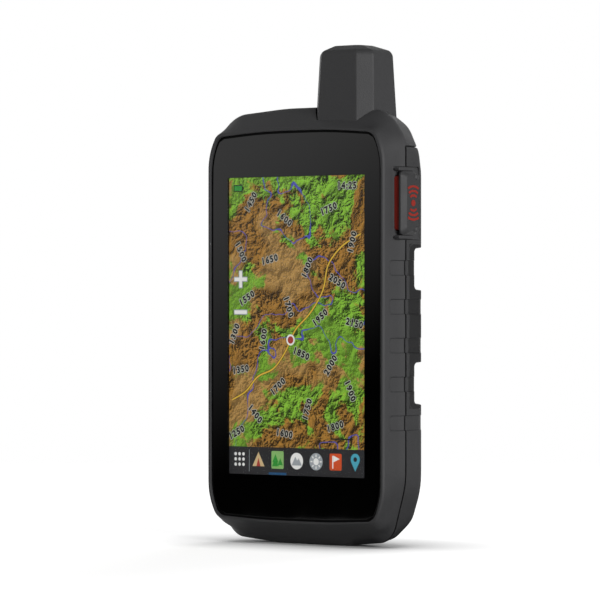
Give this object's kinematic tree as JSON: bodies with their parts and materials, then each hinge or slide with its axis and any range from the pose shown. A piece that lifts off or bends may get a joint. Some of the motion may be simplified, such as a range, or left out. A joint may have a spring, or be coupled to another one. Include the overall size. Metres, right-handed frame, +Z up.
{
  "type": "handheld navigator",
  "caption": "Rugged upright handheld navigator with a tall touch screen, offset stub antenna, hinged cap over an emergency button, cradle notches and a latched battery door.",
  "frame": {"origin": "middle of the flat base face, under the middle of the screen", "axes": "+Z up the long side, +Y to the back, +X to the right-hand side with the emergency button; the screen faces -Y"},
  "size_m": [0.092, 0.0327, 0.1798],
  "materials": {
    "shell_plastic": "fine spark-eroded texture, moulded glass-filled plastic",
    "rear_plastic": "fine spark-eroded texture, moulded glass-filled plastic",
    "cover_glass": "polished strengthened glass with a black printed border",
    "adhesive_foam": "die-cut foam tape",
    "display_panel": "liquid-crystal panel",
    "pressed_tray": "pressed sheet",
    "flex_film": "polyimide film",
    "circuit_board": "solder mask on glass laminate",
    "shield_cans": "tinned pressed sheet",
    "zinc_screw": "zinc plated",
    "moulded_black": "moulded",
    "moulded_pale": "moulded",
    "seal_rubber": "moulded silicone cord",
    "black_screw": "black oxide",
    "brass_insert": "knurled",
    "copper_strip": "plated strip",
    "lead_jacket": "jacketed coaxial lead",
    "panel_plastic": "fine texture",
    "cap_plastic": "fine texture, red two-shot mark",
    "steel_pin": "ground",
    "red_elastomer": "moulded",
    "key_rubber": "moulded",
    "tinned_shell": "pressed and plated",
    "pack_plastic": "welded plastic case",
    "gold_contact": "gold plated",
    "stainless": "turned",
    "spring_steel": "stamped",
    "anodised_ring": "black anodised",
    "lens_glass": "polished",
    "clear_moulding": "moulded lens",
    "vent_membrane": "porous membrane"
  },
  "bodies": {
    "unit": {"front_frame": "shell_plastic", "rear_housing": "rear_plastic", "cover_glass": "cover_glass", "glass_gasket": "adhesive_foam", "display_panel": "display_panel", "display_tray": "pressed_tray", "display_flex": "flex_film", "main_board": "circuit_board", "board_shields": "shield_cans", "board_screws": "zinc_screw", "beeper": "moulded_black", "card_holder": "moulded_pale", "memory_card": "moulded_black", "case_seal": "seal_rubber", "case_screws": "black_screw", "thread_inserts": "brass_insert", "antenna_cover": "shell_plastic", "antenna_gasket": "seal_rubber", "antenna_core": "moulded_pale", "antenna_winding": "copper_strip", "antenna_lead": "lead_jacket", "sos_panel": "panel_plastic", "sos_hinge_pin": "steel_pin", "sos_switch": "moulded_black", "power_switch": "moulded_black", "usb_socket": "tinned_shell", "battery_pack": "pack_plastic", "battery_contacts": "gold_contact", "keeper_spring": "spring_steel", "camera_bezel": "anodised_ring", "camera_window": "lens_glass", "camera_module": "moulded_black", "flash_lens": "clear_moulding", "pressure_vent": "vent_membrane", "contact_block": "moulded_black", "mount_contacts": "gold_contact", "antenna_port": "gold_contact"},
    "sos_cap": {"sos_cap": "cap_plastic"},
    "sos_button": {"sos_button": "red_elastomer"},
    "power_button": {"power_button": "key_rubber"},
    "usb_cap": {"usb_cap": "key_rubber"},
    "antenna_port_cap": {"antenna_port_cap": "key_rubber"},
    "battery_door": {"battery_door": "shell_plastic", "door_seal": "seal_rubber"},
    "latch": {"latch_stud": "stainless", "latch_clip": "spring_steel"},
    "d_ring": {"d_ring": "stainless"}
  },
  "joints": [
    {"name": "sos_cap_hinge", "type": "hinge", "parent": "unit", "child": "sos_cap", "pos_m": [0.0458, -0.0021, 0.1228], "axis": [0, 0, 1], "range_deg": [0, 110]},
    {"name": "sos_button_press", "type": "slide", "parent": "unit", "child": "sos_button", "axis": [-1, 0, 0], "range_m": [0, 0.0008], "stiffness_N_per_m": 1500, "springref_m": -0.0004},
    {"name": "power_button_press", "type": "slide", "parent": "unit", "child": "power_button", "axis": [1, 0, 0], "range_m": [0, 0.0006], "stiffness_N_per_m": 1500, "springref_m": -0.0004},
    {"name": "usb_cap_hinge", "type": "hinge", "parent": "unit", "child": "usb_cap", "pos_m": [-0.0427, -0.0001, 0.0621], "axis": [0, -1, 0], "range_deg": [0, 110]},
    {"name": "antenna_port_cap_hinge", "type": "hinge", "parent": "unit", "child": "antenna_port_cap", "pos_m": [0.024, 0.01215, 0.1172], "axis": [-1, 0, 0], "range_deg": [0, 110]},
    {"name": "door_lift", "type": "slide", "parent": "unit", "child": "battery_door", "axis": [0, 1, 0], "range_m": [0, 0.045], "deforming": ["keeper_spring"]},
    {"name": "latch_turn", "type": "hinge", "parent": "battery_door", "child": "latch", "pos_m": [0, 0.0177, 0.03], "axis": [0, 1, 0], "range_deg": [0, 90]},
    {"name": "d_ring_fold", "type": "hinge", "parent": "latch", "child": "d_ring", "pos_m": [0, 0.016, 0.03], "axis": [1, 0, 0], "range_deg": [0, 90]}
  ]
}
